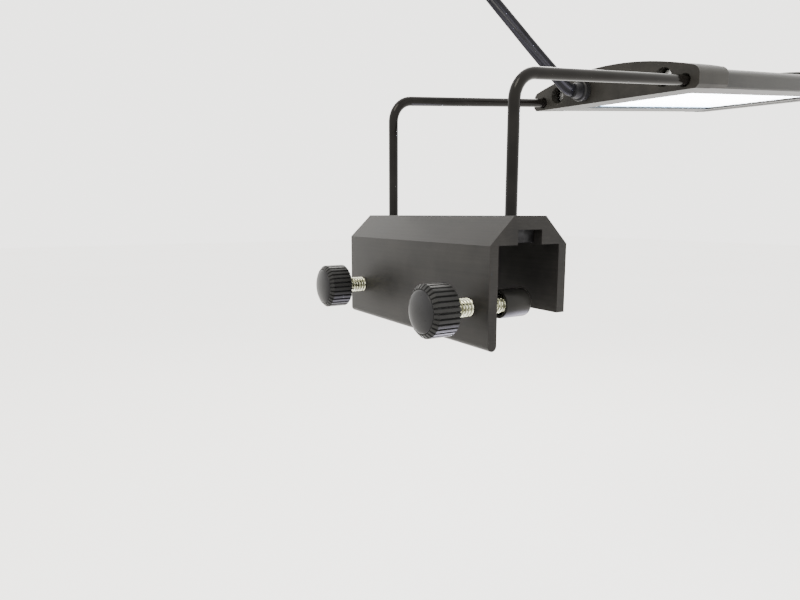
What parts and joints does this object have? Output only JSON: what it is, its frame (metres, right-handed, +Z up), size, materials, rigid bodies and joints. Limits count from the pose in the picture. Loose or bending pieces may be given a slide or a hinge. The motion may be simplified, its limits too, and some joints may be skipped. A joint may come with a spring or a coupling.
{
  "type": "led aquarium light",
  "caption": "Flat LED light head on two bent wire arms, held over a tank by a rim clamp with two thumbscrews and rubber pads.",
  "frame": {"origin": "where the tank's rim bears on the clamp: on the underside of the clamp's roof, beside the inner plate, at mid-length", "axes": "+X along the light, out over the tank; +Y along the tank's rim; +Z up"},
  "size_m": [0.2786, 0.0996, 0.1681],
  "materials": {
    "clamp_black": "black anodised, satin",
    "wire_black": "black coated, gloss",
    "zinc": "zinc plated",
    "knob_black": "moulded black",
    "pad_rubber": "smooth black",
    "housing_grey": "dark grey anodised, satin",
    "cap_black": "moulded black, satin",
    "steel": "bright",
    "nut_black": "black oxide",
    "clear": "clear acrylic",
    "seal": "translucent silicone",
    "board_white": "white solder mask",
    "lamp_white": "lit, cool white",
    "lamp_blue": "lit, blue",
    "lamp_green": "lit, green",
    "gland_black": "moulded nylon",
    "relief_rubber": "moulded, satin",
    "lead_red": "insulated lead",
    "terminal_white": "moulded nylon",
    "cord_black": "soft PVC, satin",
    "plug_black": "moulded PVC",
    "nickel": "nickel plated"
  },
  "bodies": {
    "clamp": {"clamp_body": "clamp_black", "wire_near": "wire_black", "wire_far": "wire_black", "wire_nuts": "nut_black"},
    "head": {"housing": "housing_grey", "cap_near_clamp": "cap_black", "cap_outer": "cap_black", "cap_screws": "steel", "lens": "clear", "lens_seals": "seal", "led_board": "board_white", "board_screws": "steel", "leds_white": "lamp_white", "leds_blue": "lamp_blue", "leds_green": "lamp_green", "cable_gland": "gland_black", "gland_nut": "gland_black", "strain_relief": "relief_rubber", "inner_leads": "lead_red", "lead_terminal": "terminal_white", "cord_lead": "cord_black", "plug_relief": "plug_black", "plug_body": "plug_black", "plug_barrel": "nickel"},
    "pad_near": {"pad_near": "pad_rubber"},
    "pad_far": {"pad_far": "pad_rubber"},
    "screw_near": {"stud_near": "zinc", "knob_near": "knob_black"},
    "screw_far": {"stud_far": "zinc", "knob_far": "knob_black"}
  },
  "joints": [
    {"name": "head_slide", "type": "slide", "parent": "clamp", "child": "head", "axis": [0.9965, 0, 0.0837], "range_m": [-0.04, 0.015]},
    {"name": "pad_feed_near", "type": "slide", "parent": "clamp", "child": "pad_near", "axis": [1, 0, 0], "range_m": [-0.0077, 0.0048]},
    {"name": "screw_turn_near", "type": "hinge", "parent": "pad_near", "child": "screw_near", "pos_m": [-0.03, -0.039, -0.021], "axis": [1, 0, 0], "range_deg": [-2160, 1350]},
    {"name": "pad_feed_far", "type": "slide", "parent": "clamp", "child": "pad_far", "axis": [1, 0, 0], "range_m": [-0.0077, 0.0048]},
    {"name": "screw_turn_far", "type": "hinge", "parent": "pad_far", "child": "screw_far", "pos_m": [-0.03, 0.039, -0.021], "axis": [1, 0, 0], "range_deg": [-2160, 1350]}
  ],
  "couplings": [
    {"joint": "pad_feed_near", "follows": "screw_turn_near", "m_per_rad": 0.00020213},
    {"joint": "pad_feed_far", "follows": "screw_turn_far", "m_per_rad": 0.00020213}
  ]
}
